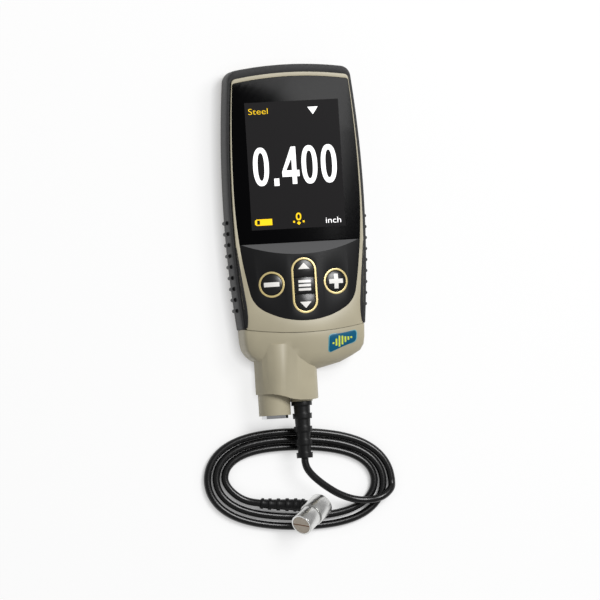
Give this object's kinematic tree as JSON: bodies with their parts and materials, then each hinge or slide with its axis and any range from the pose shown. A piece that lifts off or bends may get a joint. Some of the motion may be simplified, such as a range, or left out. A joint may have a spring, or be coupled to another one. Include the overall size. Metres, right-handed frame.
{
  "type": "ultrasonic thickness gauge",
  "caption": "Handheld ultrasonic thickness gauge with a display window, crowned keypad and rubber grip, a plug-in probe and a coiled cable to a dual-element transducer.",
  "frame": {"origin": "middle of the box around gauge and probe without the cable, on the plane of the flat back", "axes": "+X to the right of the keypad, +Y to the top end of the gauge, +Z out of the display; the gauge lies on its back"},
  "size_m": [0.0923, 0.2225, 0.0258],
  "materials": {
    "housing_plastic": "satin",
    "grip_rubber": "matte",
    "seal_rubber": "matte",
    "window_plastic": "gloss",
    "panel_plastic": "satin",
    "fascia_plastic": "satin",
    "ring_plastic": "gloss",
    "key_plastic": "gloss",
    "switch_plastic": "matte",
    "board_laminate": "satin",
    "chip_plastic": "matte",
    "screw_steel": "satin",
    "cell_case": "gloss",
    "spring_steel": "satin",
    "socket_plastic": "matte",
    "contact_brass": "gloss",
    "zero_plate_chrome": "polished",
    "relief_rubber": "satin",
    "cable_jacket": "gloss",
    "transducer_steel": "polished",
    "delay_plastic": "satin",
    "barrier_cork": "matte",
    "crystal_ceramic": "matte",
    "backing_resin": "matte"
  },
  "bodies": {
    "gauge": {"front_housing": "housing_plastic", "rear_housing": "housing_plastic", "battery_door": "housing_plastic", "rubber_grip": "grip_rubber", "housing_gasket": "seal_rubber", "door_seal_ring": "seal_rubber", "display_window": "window_plastic", "display_panel": "panel_plastic", "keypad_fascia": "fascia_plastic", "key_rings": "ring_plastic", "key_switches": "switch_plastic", "main_board": "board_laminate", "board_chips": "chip_plastic", "board_screws": "screw_steel", "housing_screws": "screw_steel", "door_screws": "screw_steel", "battery_left": "cell_case", "battery_middle": "cell_case", "battery_right": "cell_case", "battery_springs": "spring_steel", "battery_contacts": "spring_steel", "probe_socket": "socket_plastic", "socket_pins": "contact_brass"},
    "probe": {"probe_housing": "housing_plastic", "probe_plate": "socket_plastic", "plug_contacts": "contact_brass", "probe_board": "board_laminate", "zero_plate": "zero_plate_chrome", "probe_relief": "relief_rubber", "cable": "cable_jacket", "transducer_relief": "relief_rubber", "transducer_case": "transducer_steel", "transducer_sleeve": "transducer_steel", "transmit_delay": "delay_plastic", "receive_delay": "delay_plastic", "sound_barrier": "barrier_cork", "transmit_crystal": "crystal_ceramic", "receive_crystal": "crystal_ceramic", "backing_block": "backing_resin"},
    "minus_key": {"minus_key": "key_plastic"},
    "plus_key": {"plus_key": "key_plastic"},
    "up_key": {"up_key": "key_plastic"},
    "menu_key": {"menu_key": "key_plastic"},
    "down_key": {"down_key": "key_plastic"}
  },
  "joints": [
    {"name": "probe_pull", "type": "slide", "parent": "gauge", "child": "probe", "axis": [0, -1, 0], "range_m": [0, 0.014]},
    {"name": "minus_key_press", "type": "slide", "parent": "gauge", "child": "minus_key", "axis": [0.1987, 0, -0.9801], "range_m": [0, 0.0008], "stiffness_N_per_m": 1500, "springref_m": -0.0003},
    {"name": "plus_key_press", "type": "slide", "parent": "gauge", "child": "plus_key", "axis": [-0.1987, 0, -0.9801], "range_m": [0, 0.0008], "stiffness_N_per_m": 1500, "springref_m": -0.0003},
    {"name": "up_key_press", "type": "slide", "parent": "gauge", "child": "up_key", "axis": [0, 0, -1], "range_m": [0, 0.0008], "stiffness_N_per_m": 1500, "springref_m": -0.0003},
    {"name": "menu_key_press", "type": "slide", "parent": "gauge", "child": "menu_key", "axis": [0, 0, -1], "range_m": [0, 0.0008], "stiffness_N_per_m": 1500, "springref_m": -0.0003},
    {"name": "down_key_press", "type": "slide", "parent": "gauge", "child": "down_key", "axis": [0, 0, -1], "range_m": [0, 0.0008], "stiffness_N_per_m": 1500, "springref_m": -0.0003}
  ]
}
